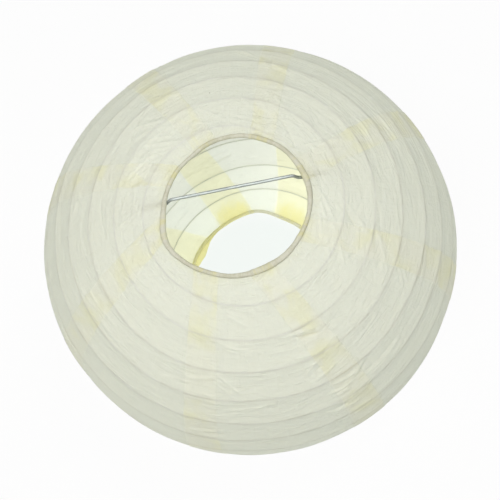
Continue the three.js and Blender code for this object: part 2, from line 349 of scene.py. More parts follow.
def paperShape(gore):
    plan = paperPlan
    topEdge = lengthAtRadius(lantern["topRing"] + plan["pastRing"])
    bottomEdge = profileEnd - lengthAtRadius(lantern["bottomRing"] + plan["pastRing"])
    crossings = goreLines(gore)

    def lineDown(i, turns):
        if i == 0:
            return np.full_like(turns, topEdge)
        if i == len(crossings) + 1:
            return np.full_like(turns, bottomEdge)
        return np.clip(ribDown(crossings[i - 1] + turns), topCut + 1.2, bottomCut - 1.2)

    def downAt(turns):
        # where every row crosses the azimuth that is so many turns past the seam
        at = np.array([turns])
        rows = zip(bands, shares)
        return np.array([(1 - f) * lineDown(b, at)[0] + f * lineDown(b + 1, at)[0] for b, f in rows])

    bands = []
    shares = []
    middle = np.array([0.06])
    for band in range(len(crossings) + 1):
        height = float(lineDown(band + 1, middle)[0] - lineDown(band, middle)[0])
        rows = max(4, round(plan["rowsPerBand"] * height / ribPitch))
        bands += [band] * rows
        shares += [i / rows for i in range(rows)]
    bands.append(len(crossings))
    shares.append(1.0)
    bands = np.array(bands)
    shares = np.array(shares)

    # azimuths across each row, from the left seam
    lap = np.linspace(-1, 1, plan["lapColumns"] + 1)
    leftDown = downAt(0.0)
    rightDown = downAt(1 / lantern["gores"])
    leftLap = (lapHalf(leftDown) / profileAt(leftDown)[0])[:, None]
    rightLap = (lapHalf(rightDown) / profileAt(rightDown)[0])[:, None]
    leftSeam = seamStray(gore, leftDown)[:, None]
    rightSeam = goreAngle + seamStray(gore + 1, rightDown)[:, None]
    step = (lantern["joggle"] / profileAt(leftDown)[0])[:, None]
    bodyStart = leftSeam + leftLap + step
    bodyEnd = rightSeam - rightLap
    body = np.linspace(0, 1, plan["bodyColumns"] + 1)[None, :]
    across = np.concatenate(
        (
            leftSeam + lap[None, :] * leftLap,
            leftSeam + leftLap + step * 0.5,
            bodyStart + (bodyEnd - bodyStart) * body,
            rightSeam + lap[None, 1:] * rightLap,
        ),
        axis=1,
    )
    turns = across / fullTurn
    azimuth = firstSeam + gore * goreAngle + across

    share = np.repeat(shares[:, None], across.shape[1], axis=1)
    upper = np.stack([lineDown(b, turns[i]) for i, b in enumerate(bands)])
    lower = np.stack([lineDown(b + 1, turns[i]) for i, b in enumerate(bands)])
    down = upper + (lower - upper) * share
    bandHeight = lower - upper

    # straight between the two ribs
    upperRadius, upperZ = profileAt(upper)
    lowerRadius, lowerZ = profileAt(lower)
    upperRadius = upperRadius + wanderAt(upper, azimuth)
    lowerRadius = lowerRadius + wanderAt(lower, azimuth)
    radius = upperRadius + (lowerRadius - upperRadius) * share
    height = upperZ + (lowerZ - upperZ) * share

    # sag, folds and crinkles, along the outward normal
    ribGap = np.minimum(share * bandHeight, (1 - share) * bandHeight)
    size = np.clip(bandHeight / ribPitch, 0, 1.15) ** 1.5
    bow = 4 * share * (1 - share)
    fold = 1 - np.abs(2 * share - 1)
    uneven = 1 + 0.9 * noiseRound(3, azimuth, np.floor(down / ribPitch) * 3.3)
    sag = plan["sag"] * size * uneven * ((1 - plan["foldShare"]) * bow + plan["foldShare"] * fold)
    ridge = plan["ribRidge"] * np.exp(-((ribGap / 1.1) ** 2))
    held = 1 - np.exp(-((ribGap / 2.2) ** 2))
    fan = noiseRound(22, azimuth, down / 34) * (1 - share) ** 1.2
    fan = fan + 0.6 * noiseRound(26, azimuth, down / 30 + 9) * share**2
    patch = smooth(noiseRound(2.4, azimuth, down / 30 + 70), -0.25, 0.35)
    crinkle = plan["crinkle"] * fan * (0.35 + patch)
    ripple = plan["ripple"] * noiseRound(3.5, azimuth, down / 4.6) * (0.3 + 0.9 * patch)
    folds = creaseField(down, azimuth, radius)
    edges = smooth(down, topCut + 1, topCut + 7) * smooth(-down, -bottomCut + 1, -bottomCut + 7)
    lift = plan["lapLift"] * (1 - smooth(across, leftSeam + leftLap, leftSeam + leftLap + step))
    outward = ridge + lift + held * (edges * (crinkle + ripple + folds) - sag)
    outX, outZ = outwardAt(down)
    radius = radius + outX * outward
    height = height + outZ * outward

    # 1 at the edge of a lap, whatever its width there
    seamGap = np.minimum(np.abs(across - leftSeam), np.abs(across - rightSeam)) * radius / lapHalf(down)
    place = around(100, azimuth, down)
    facts = {"seamGap": seamGap, "ribGap": ribGap, "paperPlace": place, "fold": held * edges * folds}
    return around(radius, azimuth, height) * mm, facts


def gridFaces(rows, columns, aroundColumns=False, aroundRows=False):
    faces = []
    for i in range(rows if aroundRows else rows - 1):
        for j in range(columns if aroundColumns else columns - 1):
            right = (j + 1) % columns
            below = (i + 1) % rows
            faces.append((i * columns + j, below * columns + j, below * columns + right, i * columns + right))
    return faces


def addFacts(mesh, facts):
    for name, values in facts.items():
        if values.ndim == 3:
            kind, field = "FLOAT_VECTOR", "vector"
        else:
            kind, field = "FLOAT", "value"
        attribute = mesh.attributes.new(name, kind, "POINT")
        attribute.data.foreach_set(field, values.astype(np.float32).ravel())


def gridObject(name, points, facts, aroundColumns=False, aroundRows=False):
    rows, columns = points.shape[:2]
    mesh = bpy.data.meshes.new(name)
    mesh.from_pydata(points.reshape(-1, 3).tolist(), [], gridFaces(rows, columns, aroundColumns, aroundRows))
    addFacts(mesh, facts)
    mesh.shade_smooth()
    piece = bpy.data.objects.new(name, mesh)
    bpy.context.scene.collection.objects.link(piece)
    return piece


def unfoldedMap(piece, rows, columns):
    # the gore cut across its middle, its two halves side by side
    layer = piece.data.uv_layers.new(name="OFBake")
    half = rows // 2
    corners = []
    for face in piece.data.polygons:
        row = min(v // columns for v in face.vertices)
        for v in face.vertices:
            i, j = divmod(v, columns)
            u = 0.01 + 0.48 * j / (columns - 1)
            if row < half:
                w = i / half
            else:
                w = (i - half) / (rows - 1 - half)
                u += 0.5
            corners += [u, 0.99 - 0.98 * w]
    layer.data.foreach_set("uv", corners)


paperGores = []
for gore in range(lantern["gores"]):
    points, facts = paperShape(gore)
    piece = gridObject(f"paperGore{gore + 1}", points, facts)
    unfoldedMap(piece, points.shape[0], points.shape[1])
    paperGores.append(piece)
print("paper gores made:", len(paperGores), "of", len(paperGores[0].data.vertices), "points each")


def capEnds(mesh, sides):
    work = bmesh.new()
    work.from_mesh(mesh)
    work.verts.ensure_lookup_table()
    count = len(work.verts)
    work.faces.new([work.verts[i] for i in range(sides)])
    work.faces.new([work.verts[i] for i in range(count - 1, count - 1 - sides, -1)])
    bmesh.ops.recalc_face_normals(work, faces=work.faces)
    work.to_mesh(mesh)
    work.free()
    mesh.shade_smooth()


def tubeObject(name, stations, radius, sides, closed=False):
    stations = np.array(stations, float)
    if closed:
        tangents = np.roll(stations, -1, axis=0) - np.roll(stations, 1, axis=0)
    else:
        tangents = np.gradient(stations, axis=0)
    tangents /= np.linalg.norm(tangents, axis=1)[:, None]
    normal = np.cross(tangents[0], (0, 0, 1))
    if np.linalg.norm(normal) < 0.1:
        normal = np.cross(tangents[0], (1, 0, 0))
    normal /= np.linalg.norm(normal)
    turn = np.arange(sides) * fullTurn / sides
    rings = []
    for place, tangent in zip(stations, tangents):
        normal = normal - tangent * normal.dot(tangent)
        normal /= np.linalg.norm(normal)
        side = np.cross(tangent, normal)
        rings.append(place + radius * (np.cos(turn)[:, None] * normal + np.sin(turn)[:, None] * side))
    steps = np.linalg.norm(np.diff(stations, axis=0), axis=1)
    along = np.concatenate(([0.0], np.cumsum(steps)))
    if not closed:
        # rounded, drawn-in ends
        first = stations[0] + (rings[0] - stations[0]) * 0.55 - tangents[0] * radius * 0.35
        last = stations[-1] + (rings[-1] - stations[-1]) * 0.55 + tangents[-1] * radius * 0.35
        rings = [first] + rings + [last]
        along = np.concatenate(([0.0], along, [along[-1]]))
    place = np.stack(np.broadcast_arrays(along[:, None], np.cos(turn), np.sin(turn)), axis=2)
    piece = gridObject(name, np.stack(rings) * mm, {"wirePlace": place}, True, closed)
    if not closed:
        capEnds(piece.data, sides)
    return piece


wirePlan = {
    "ribRadius": 0.42,
    "ribSteps": 150,  # per turn
    "ribSides": 8,
    "ribDepth": 0.56,  # of the wire's middle inside the paper
    "ringRadius": 0.8,
    "ringSteps": 240,
    "ringSides": 10,
    "expanderRadius": 1.0,
    "expanderOffset": 8.5,
    "legBow": 3.6,
    "expanderSides": 14,
    "bendSteps": 9,
}


def ribStations():
    count = round(lantern["ribTurns"] * wirePlan["ribSteps"])
    turns = np.linspace(0, lantern["ribTurns"], count + 1)
    down = ribDown(turns)
    azimuth = firstSeam + turns * fullTurn
    radius, height = profileAt(down)
    radius = radius + wanderAt(down, azimuth)
    outX, outZ = outwardAt(down)
    radius = radius - outX * wirePlan["ribDepth"]
    height = height - outZ * wirePlan["ribDepth"]
    return around(radius, azimuth, height)


ribWire = tubeObject("ribWire", ribStations(), wirePlan["ribRadius"], wirePlan["ribSides"])


def makeRing(name, ring, height, top):
    azimuth = np.arange(wirePlan["ringSteps"]) * fullTurn / wirePlan["ringSteps"]
    stations = around(ring + ringWander(azimuth, top), azimuth, height)
    return tubeObject(name, stations, wirePlan["ringRadius"], wirePlan["ringSides"], closed=True)


topRingWire = makeRing("topRingWire", lantern["topRing"], topRingZ, True)
bottomRingWire = makeRing("bottomRingWire", lantern["bottomRing"], bottomRingZ, False)

# the expander's corners on one side: distance from the axis, height, bend
expanderCorners = [
    (37.19, 244.26, 3.0),
    (40.70, 238.38, 2.8),
    (54.99, 231.72, 7.0),
    (54.99, 4.3, 3.5),
    (60.89, 4.3, 0.0),
]


def expanderStations():
    left = [(-x, z, bend) for x, z, bend in reversed(expanderCorners)]
    corners = left + expanderCorners
    stations = [np.array([corners[0][0], corners[0][1]])]
    for i in range(1, len(corners) - 1):
        here = np.array(corners[i][:2])
        back = np.array(corners[i - 1][:2]) - here
        ahead = np.array(corners[i + 1][:2]) - here
        backLength = np.linalg.norm(back)
        back /= backLength
        ahead /= np.linalg.norm(ahead)
        turn = math.pi - math.acos(np.clip(back.dot(ahead), -1, 1))
        bend = corners[i][2]
        start = here + back * bend * math.tan(turn / 2)
        centre = here + (back + ahead) / np.linalg.norm(back + ahead) * bend / math.cos(turn / 2)
        # a straight stretch gets stations too, so that it can bow a little
        last = stations[-1]
        gaps = int(np.linalg.norm(start - last) // 5)
        stations += [last + (start - last) * k / (gaps + 1) for k in range(1, gaps + 1)]
        spoke = start - centre
        sign = 1 if back[0] * ahead[1] - back[1] * ahead[0] > 0 else -1
        for k in range(wirePlan["bendSteps"] + 1):
            angle = -sign * turn * k / wirePlan["bendSteps"]
            c, s = math.cos(angle), math.sin(angle)
            stations.append(centre + np.array([c * spoke[0] - s * spoke[1], s * spoke[0] + c * spoke[1]]))
    stations.append(np.array(corners[-1][:2]))
    flat = np.array(stations)
    bow = 0.25 * np.array([noise.noise((x * 0.035, z * 0.03, 5.0)) for x, z in flat])
    # the springy legs bow outward under the paper's pull
    foot, shoulder = expanderCorners[3][1], expanderCorners[2][1]
    along = np.clip((flat[:, 1] - foot) / (shoulder - foot), 0, 1)
    outward = wirePlan["legBow"] * np.sin(np.pi * along) ** 1.2 * np.sign(flat[:, 0])
    return np.stack([flat[:, 0] + outward, wirePlan["expanderOffset"] + bow, flat[:, 1]], axis=1)


expanderWire = tubeObject(
    "expanderWire", expanderStations(), wirePlan["expanderRadius"], wirePlan["expanderSides"]
)
print("wires made: rib wire with", len(ribWire.data.vertices), "points")


# the gores' ends rolled round the two rings
hemPlan = {
    "steps": 480,
    "around": 26,
    "overlap": 0.7,  # radians that the roll overlaps itself
    "roll": (1.3, 1.5),  # radius of the roll from its start to its free end
    "pleat": 0.13,
    "lapStep": 0.16,
    "flapRows": 7,
    "stainAt": 140.0,  # where most paste was spread on the foot's loose paper
    "stainWide": 34.0,
    # where the top roll is flattened: azimuth, spread, share
    "wide": [
        (290, 24, 0.38), (5, 16, 0.3), (188, 22, 0.28), (120, 40, -0.12), (335, 16, -0.12), (240, 16, -0.12),
    ],
    "paintedShadeLines": [(12, 10, 0.5), (172, 12, 0.45)],  # painted shade lines along the top roll, at its outer and inner edge: turn round it, spread, share
    "topLevel": 0,  # where the rolls and the loose paper lie in the paper's noise
    "footLevel": 300,
    "flapLevel": 330,
}


def lapAt(azimuth, radius, top):
    # 1 at the edge of the nearest lap
    down = np.array(topCut if top else bottomCut)
    nearest = np.full(np.shape(azimuth), 9.0)
    for seam in range(lantern["gores"]):
        gap = np.abs(angleGap(azimuth, firstSeam + seam * goreAngle + float(seamStray(seam, down))))
        nearest = np.minimum(nearest, gap)
    return nearest * radius / float(lapHalf(down))


def pleats(azimuth, turn, seed):
    fine = noiseRound(24, azimuth, turn * 0.8 + seed)
    coarse = noiseRound(7, azimuth, turn * 0.5 + seed + 20)
    return 0.7 * fine + 0.8 * coarse


def rolledHem(ring, height, top):
    steps = hemPlan["steps"]
    end = fullTurn + hemPlan["overlap"]
    places = np.arange(steps) * fullTurn / steps
    azimuth, sweep = np.meshgrid(places, np.linspace(0, end, hemPlan["around"]), indexing="ij")
    start = math.radians(-70 if top else 60)
    turn = start + (1 if top else -1) * sweep
    seamGap = lapAt(azimuth, ring, top)
    low, high = hemPlan["roll"]
    roll = low + (high - low) * sweep / end
    roll = roll + hemPlan["pleat"] * pleats(azimuth, turn, 4.0 if top else 15.0)
    roll = roll + hemPlan["lapStep"] * (1 - smooth(seamGap, 0.9, 1.05))
    wide = np.ones_like(roll)
    dark = np.zeros_like(roll)
    if top:
        for at, spread, share in hemPlan["wide"]:
            gap = np.degrees(angleGap(azimuth, math.radians(at)))
            wide += share * np.exp(-((gap / spread) ** 2))
        # painted shade lines along the top roll
        for at, spread, share in hemPlan["paintedShadeLines"]:
            gap = np.degrees(angleGap(turn, math.radians(at)))
            dark = np.maximum(dark, share * np.exp(-((gap / spread) ** 2)))
    radius = ring + ringWander(azimuth, top) + roll * wide * np.cos(turn)
    z = height + roll * np.sin(turn)
    if not top:
        z = np.maximum(z, 0.02)
    level = sweep * 1.4 + hemPlan["topLevel" if top else "footLevel"]
    pasted = np.zeros_like(seamGap) if top else footStain(azimuth)
    place = around(100, azimuth, level)
    facts = {"seamGap": seamGap, "paperPlace": place, "flapShare": pasted, "grooveShade": dark}
    return gridRows(around(radius, azimuth, z) * mm), {k: gridRows(v) for k, v in facts.items()}


def gridRows(values):
    # rows run along the roll and columns round the ring
    return np.swapaxes(values, 0, 1)


# how far the loose paper at the foot reaches in from its ring's wire: azimuth in degrees and reach
flapReach = [
    (-20, 3.0), (6, 2.2), (20, 1.8), (40, 1.5), (120, 1.5), (131, 2.7), (140, 5.7), (148, 7.2), (156, 5.7),
    (166, 3.0), (182, 2.0), (204, 3.4), (219, 1.8), (236, 3.0), (252, 3.3), (266, 1.8), (282, 3.1),
    (296, 3.6), (311, 2.0), (325, 3.2),
]


def flapIn(azimuth):
    degrees = np.degrees(azimuth)
    turnsDown = np.where(degrees > 340, degrees - 360, degrees)
    known = flapReach + [(340, flapReach[0][1])]
    return np.interp(turnsDown, [a for a, r in known], [r for a, r in known])


def footStain(azimuth):
    gap = np.degrees(angleGap(azimuth, math.radians(hemPlan["stainAt"])))
    return 0.06 + 0.7 * np.exp(-((gap / hemPlan["stainWide"]) ** 2))


def footFlap():
    steps = hemPlan["steps"]
    places = np.arange(steps) * fullTurn / steps
    share, azimuth = np.meshgrid(np.linspace(0, 1, hemPlan["flapRows"]), places, indexing="ij")
    outer = lantern["bottomRing"] + ringWander(azimuth, False) - 0.9
    inner = outer + 0.9 - flapIn(azimuth) + 0.35 * noiseRound(18, azimuth, 2)
    radius = outer + (inner - outer) * share
    rise = 0.9 * noiseRound(6, azimuth, share + 31)
    crinkle = 0.3 * noiseRound(25, azimuth, share + 3)
    z = np.maximum(0.9 + 1.1 * share + share * (rise + crinkle), 0.15)
    place = around(100, azimuth, hemPlan["flapLevel"] + 5 * share)
    stain = footStain(azimuth) * (0.6 + 0.4 * share)
    seamGap = lapAt(azimuth, 57, False)
    facts = {"seamGap": seamGap, "paperPlace": place, "flapShare": stain, "grooveShade": share * 0}
    return around(radius, azimuth, z) * mm, facts


def joinPieces(first, others):
    bpy.ops.object.select_all(action="DESELECT")
    for piece in [first] + others:
        piece.select_set(True)
    bpy.context.view_layer.objects.active = first
    bpy.ops.object.join()
    return first


points, facts = rolledHem(lantern["topRing"], topRingZ, True)
topHem = gridObject("topHem", points, facts, aroundColumns=True)
points, facts = rolledHem(lantern["bottomRing"], bottomRingZ, False)
bottomHem = gridObject("bottomHem", points, facts, aroundColumns=True)
points, facts = footFlap()
flap = gridObject("footFlap", points, facts, aroundColumns=True)
bottomHem = joinPieces(bottomHem, [flap])
print("hems made")


def give(tree, socket, value):
    if isinstance(value, bpy.types.NodeSocket):
        tree.links.new(value, socket)
    else:
        socket.default_value = value


def giveAll(tree, node, inputs):
    for socket, value in inputs.items():
        give(tree, node.inputs[socket], value)


def addNode(tree, kind, inputs=None, **settings):
    node = tree.nodes.new("ShaderNode" + kind)
    for name, value in settings.items():
        setattr(node, name, value)
    giveAll(tree, node, inputs or {})
    return node


def mathOf(operation):
    def calc(tree, first, second, clamp=False):
        return addNode(tree, "Math", {0: first, 1: second}, operation=operation, use_clamp=clamp).outputs[0]
    return calc


times, plus, minus, most = [mathOf(name) for name in ("MULTIPLY", "ADD", "SUBTRACT", "MAXIMUM")]


def ramp(tree, value, low, high, toLow=0.0, toHigh=1.0):
    inputs = {"Value": value, "From Min": low, "From Max": high, "To Min": toLow, "To Max": toHigh}
    return addNode(tree, "MapRange", inputs, interpolation_type="SMOOTHSTEP").outputs["Result"]


def mixColour(tree, share, first, second, how="MIX"):
    inputs = {0: share, 6: first, 7: second}
    return addNode(tree, "Mix", inputs, data_type="RGBA", blend_type=how).outputs[2]


def stretch(tree, place, x, y, z):
    return addNode(tree, "VectorMath", {0: place, 1: (x, y, z)}, operation="MULTIPLY").outputs[0]


def noiseOf(tree, place, scale, detail=2.0, rough=0.5, twist=0.0):
    inputs = {"Vector": place, "Scale": scale, "Detail": detail, "Roughness": rough, "Distortion": twist}
    return addNode(tree, "TexNoise", inputs).outputs[0]


def factOf(tree, name, vector=False):
    return addNode(tree, "Attribute", attribute_name=name).outputs["Vector" if vector else "Fac"]


def levelOf(tree, place):
    return addNode(tree, "SeparateXYZ", {0: place}).outputs["Z"]


def newGroup(name, inputs, outputs):
    group = bpy.data.node_groups.new(name, "ShaderNodeTree")
    for label, value in inputs.items():
        kind = "NodeSocketVector" if isinstance(value, tuple) else "NodeSocketFloat"
        socket = group.interface.new_socket(name=label, in_out="INPUT", socket_type=kind)
        socket.default_value = value
    for label in outputs:
        group.interface.new_socket(name=label, in_out="OUTPUT", socket_type="NodeSocketFloat")
    start = group.nodes.new("NodeGroupInput")
    end = group.nodes.new("NodeGroupOutput")
    return group, start.outputs, end.inputs


def useGroup(tree, group, **values):
    return addNode(tree, "Group", values, node_tree=group).outputs


# long plant fibres, cloudiness and specks of thin mulberry paper
def makeFibreGroup():
    inputs = {"place": (0, 0, 0), "cloudAmount": 1.0, "fibreAmount": 1.0}
    tree, given, out = newGroup("tissueFibre", inputs, ("tone", "speck", "height"))
    place = given["place"]
    cloud = noiseOf(tree, place, 0.045, 4.0, 0.55)
    fibres = noiseOf(tree, stretch(tree, place, 1.0, 1.0, 0.12), 0.9, 3.0, 0.6, 0.8)
    crossed = noiseOf(tree, stretch(tree, place, 0.16, 0.16, 1.0), 1.3, 2.0, 0.6, 0.5)
    grain = noiseOf(tree, place, 2.6, 2.0, 0.6)
    cloudTone = times(tree, minus(tree, cloud, 0.5), given["cloudAmount"])
    fibreSum = plus(tree, minus(tree, fibres, 0.5), minus(tree, crossed, 0.5))
    fibreTone = times(tree, fibreSum, given["fibreAmount"])
    give(tree, out["tone"], plus(tree, plus(tree, cloudTone, fibreTone), 0.5))
    dots = addNode(tree, "TexVoronoi", {"Vector": place, "Scale": 0.045})
    near = ramp(tree, dots.outputs["Distance"], 0.018, 0.03, 1.0, 0.0)
    rare = ramp(tree, noiseOf(tree, place, 0.016, 1.0), 0.56, 0.6)
    give(tree, out["speck"], times(tree, near, rare))
    give(tree, out["height"], plus(tree, times(tree, fibreSum, 0.03), times(tree, grain, 0.02)))
    return tree


# dried paste: a soft stain with a stronger rim
def makePasteGroup():
    inputs = {"place": (0, 0, 0), "reach": 0.0, "blotch": 1.0}
    tree, given, out = newGroup("driedPaste", inputs, ("stain",))
    blot = noiseOf(tree, given["place"], 0.11, 3.0, 0.55, 0.6)
    fine = noiseOf(tree, given["place"], 0.6, 2.0, 0.5)
    wander = times(tree, minus(tree, blot, 0.5), given["blotch"])
    wet = ramp(tree, plus(tree, given["reach"], wander), -0.2, 0.42)
    give(tree, out["stain"], times(tree, wet, ramp(tree, fine, 0.2, 0.75, 0.8, 1.0), clamp=True))
    return tree


# marks left along a drawn wire, and dull oxide between them
def makeDrawnGroup():
    inputs = {"place": (0, 0, 0), "oxide": 0.5}
    tree, given, out = newGroup("drawnWire", inputs, ("tone", "dull", "height"))
    place = given["place"]
    lines = noiseOf(tree, stretch(tree, place, 0.05, 2.2, 2.2), 2.0, 3.0, 0.6)
    bloom = noiseOf(tree, stretch(tree, place, 0.22, 0.9, 0.9), 1.4, 4.0, 0.6)
    pits = noiseOf(tree, stretch(tree, place, 1.6, 3.0, 3.0), 2.2, 2.0, 0.5)
    give(tree, out["tone"], plus(tree, times(tree, lines, 0.6), times(tree, bloom, 0.4)))
    give(tree, out["dull"], times(tree, ramp(tree, bloom, 0.4, 0.68), given["oxide"], clamp=True))
    give(tree, out["height"], plus(tree, times(tree, lines, 0.03), times(tree, pits, 0.02)))
    return tree


tissueFibre = makeFibreGroup()
driedPaste = makePasteGroup()
drawnWire = makeDrawnGroup()


def newMaterial(name):
    material = bpy.data.materials.new(name)
    material.use_nodes = True
    tree = material.node_tree
    tree.nodes.clear()
    output = addNode(tree, "OutputMaterial")
    surface = addNode(tree, "BsdfPrincipled")
    tree.links.new(surface.outputs[0], output.inputs["Surface"])
    return material, tree, surface, output


def bumpInto(tree, surface, height, strength):
    bump = addNode(tree, "Bump", {"Strength": strength, "Distance": mm, "Height": height})
    tree.links.new(bump.outputs[0], surface.inputs["Normal"])
    return bump


def mixInto(tree, output, share, first, second):
    mix = addNode(tree, "MixShader", {0: share, 1: first.outputs[0], 2: second.outputs[0]})
    tree.links.new(mix.outputs[0], output.inputs["Surface"])


def letThrough(tree, surface, output, share, colour, bump):
    # thin paper passes this share of the light from behind: a number, or a mask where it differs
    through = addNode(tree, "BsdfTranslucent", {"Color": colour, "Normal": bump.outputs[0]})
    mixInto(tree, output, share, surface, through)


paperLook = {
    "plain": (0.965, 0.92, 0.765, 1),
    "cloudy": (0.925, 0.88, 0.735, 1),
    "through": (0.93, 0.995, 1.0, 1),  # what comes through it
    "lap": (0.99, 0.97, 0.865, 1),  # each layer of a lap, clean and pasted
    "lapPasted": (0.985, 0.95, 0.745, 1),
    "lapThrough": (0.99, 1.0, 0.965, 1),
    "lapThroughPasted": (0.985, 0.995, 0.91, 1),
    "pasteTint": (0.985, 0.965, 0.80, 1),
    # painted shadow of the rib wire: a darker line along each rib
    "ribWireShadow": (0.87, 0.855, 0.76, 1),
    # painted highlight on crease ridges and painted shade in crease valleys
    "creaseRidgeHighlight": (1.035, 1.035, 1.035, 1),
    "creaseValleyShade": (0.95, 0.94, 0.90, 1),
    "speckTint": (0.35, 0.33, 0.25, 1),
    "drySide": 147.0,  # azimuth
    "share": 0.45,  # of the light that comes through
    "shareLap": 0.6,  # through each layer of a lap
    "shareRib": 0.245,  # where it is pasted on the rib wire
    "onRib": (0.955, 0.94, 0.865, 1),
    "innerRelief": 0.3,  # of the fine relief, on the inner side
    "roughness": 0.82,
}


def makePaper():
    look = paperLook
    material, tree, surface, output = newMaterial("lanternPaper")
    place = factOf(tree, "paperPlace", vector=True)
    seamGap = factOf(tree, "seamGap")
    ribGap = factOf(tree, "ribGap")
    fibre = useGroup(tree, tissueFibre, place=place, cloudAmount=0.9, fibreAmount=0.7)

    # the lap is double and pasted, in patches above and all over towards the foot
    level = levelOf(tree, place)
    wobble = times(tree, minus(tree, noiseOf(tree, place, 0.09, 2.0), 0.5), 0.2)
    inLap = ramp(tree, plus(tree, seamGap, wobble), 0.95, 1.03, 1.0, 0.0)
    patches = ramp(tree, noiseOf(tree, place, 0.05, 2.0, 0.5, 0.4), 0.42, 0.66, 0.0, 1.0)
    besideRib = ramp(tree, ribGap, 0.0, 6.0, 1.0, 0.7)
    pasted = times(tree, patches, besideRib)
    pasted = most(tree, pasted, ramp(tree, level, 235.0, 305.0, 0.0, 1.0))

    # paste squeezed out at the foot of the lantern, most of it at the laps
    toFoot = ramp(tree, level, bottomCut - 24, bottomCut, 0.0, 1.0)
    atLap = ramp(tree, seamGap, 0.4, 1.25, 0.55, 0.0)
    reach = minus(tree, plus(tree, toFoot, atLap), 1.12)
    # little of it on one side
    dry = math.radians(look["drySide"])
    inputs = {0: place, 1: (math.cos(dry), math.sin(dry), 0)}
    toDrySide = addNode(tree, "VectorMath", inputs, operation="DOT_PRODUCT").outputs["Value"]
    reach = minus(tree, reach, ramp(tree, toDrySide, 86.0, 97.0, 0.0, 0.8))
    footPaste = useGroup(tree, driedPaste, place=place, reach=reach, blotch=0.7)["stain"]
    toNeck = ramp(tree, level, topCut + 1, topCut + 7, 0.14, 0.0)
    neckPaste = useGroup(tree, driedPaste, place=place, reach=toNeck, blotch=0.9)["stain"]
    neckShare = times(tree, neckPaste, times(tree, toNeck, 2.0))
    tint = mixColour(tree, most(tree, footPaste, neckShare), (1, 1, 1, 1), look["pasteTint"])

    # painted shadow of the rib wire: a darker line along each rib, patchy and stronger towards the foot
    ribShadowMost = ramp(tree, level, 55.0, 125.0, 0.12, 0.42)
    ribShadowAmount = ramp(tree, noiseOf(tree, place, 0.07, 2.0), 0.3, 0.6, 0.0, ribShadowMost)
    ribShadowAmount = most(tree, ribShadowAmount, ramp(tree, level, 250.0, 300.0, 0.0, 0.4))
    ribShadowShare = times(tree, ramp(tree, ribGap, 0.1, 1.0, 1.0, 0.0), ribShadowAmount)
    tint = mixColour(tree, ribShadowShare, tint, look["ribWireShadow"])
    tint = mixColour(tree, times(tree, fibre["speck"], 0.7), tint, look["speckTint"])
    # painted highlight on the ridges of the creases and painted shade in their valleys
    fold = factOf(tree, "fold")
    ridgeHighlight = ramp(tree, fold, 0.1, 1.3)
    tint = mixColour(tree, ridgeHighlight, tint, mixColour(tree, 1.0, tint, look["creaseRidgeHighlight"], "MULTIPLY"))
    valleyShade = ramp(tree, fold, -1.3, -0.1, 1.0, 0.0)
    tint = mixColour(tree, valleyShade, tint, mixColour(tree, 1.0, tint, look["creaseValleyShade"], "MULTIPLY"))
    lap = mixColour(tree, pasted, look["lap"], look["lapPasted"])
    colour = mixColour(tree, fibre["tone"], look["cloudy"], look["plain"])
    colour = mixColour(tree, inLap, colour, lap)
    onRib = ramp(tree, ribGap, 0.1, 0.9, 1.0, 0.0)
    colour = mixColour(tree, onRib, colour, look["onRib"])
    colour = mixColour(tree, 1.0, colour, tint, "MULTIPLY")
    rough = look["roughness"]
    giveAll(tree, surface, {
        "Base Color": colour,
        "Roughness": ramp(tree, fibre["tone"], 0.3, 0.7, rough - 0.06, rough + 0.08),
        "Specular IOR Level": 0.25,
    })

    # fine crinkles: a fan from each rib and long soft ones beside it
    fan = noiseOf(tree, stretch(tree, place, 0.3, 0.3, 0.06), 1.0, 2.0, 0.5, 0.8)
    long = noiseOf(tree, stretch(tree, place, 0.05, 0.05, 0.2), 1.0, 2.0, 0.5, 1.5)
    crumple = plus(tree, times(tree, fan, 0.45), long)
    lapEdge = times(tree, inLap, 0.12)
    height = plus(tree, plus(tree, crumple, fibre["height"]), lapEdge)
    # the paper is smoother on its inner side
    inner = addNode(tree, "NewGeometry").outputs["Backfacing"]
    smoother = ramp(tree, inner, 0.0, 1.0, 1.0, look["innerRelief"])
    bump = bumpInto(tree, surface, times(tree, height, smoother), 1.0)
    lapThrough = mixColour(tree, pasted, look["lapThrough"], look["lapThroughPasted"])
    through = mixColour(tree, 1.0, mixColour(tree, inLap, look["through"], lapThrough), tint, "MULTIPLY")
    share = ramp(tree, inLap, 0.0, 1.0, look["share"], look["shareLap"])
    share = minus(tree, share, times(tree, onRib, look["share"] - look["shareRib"]))
    letThrough(tree, surface, output, share, through, bump)
    return material


hemLook = {
    "plain": (0.90, 0.885, 0.725, 1),
    "cloudy": (0.80, 0.78, 0.60, 1),
    "paste": (0.97, 0.92, 0.46, 1),
    "grooveShade": (0.42, 0.42, 0.33, 1),
    "through": 0.28,
    "throughRoll": 0.12,  # where it is rolled round the wire
    "roughness": 0.85,
}


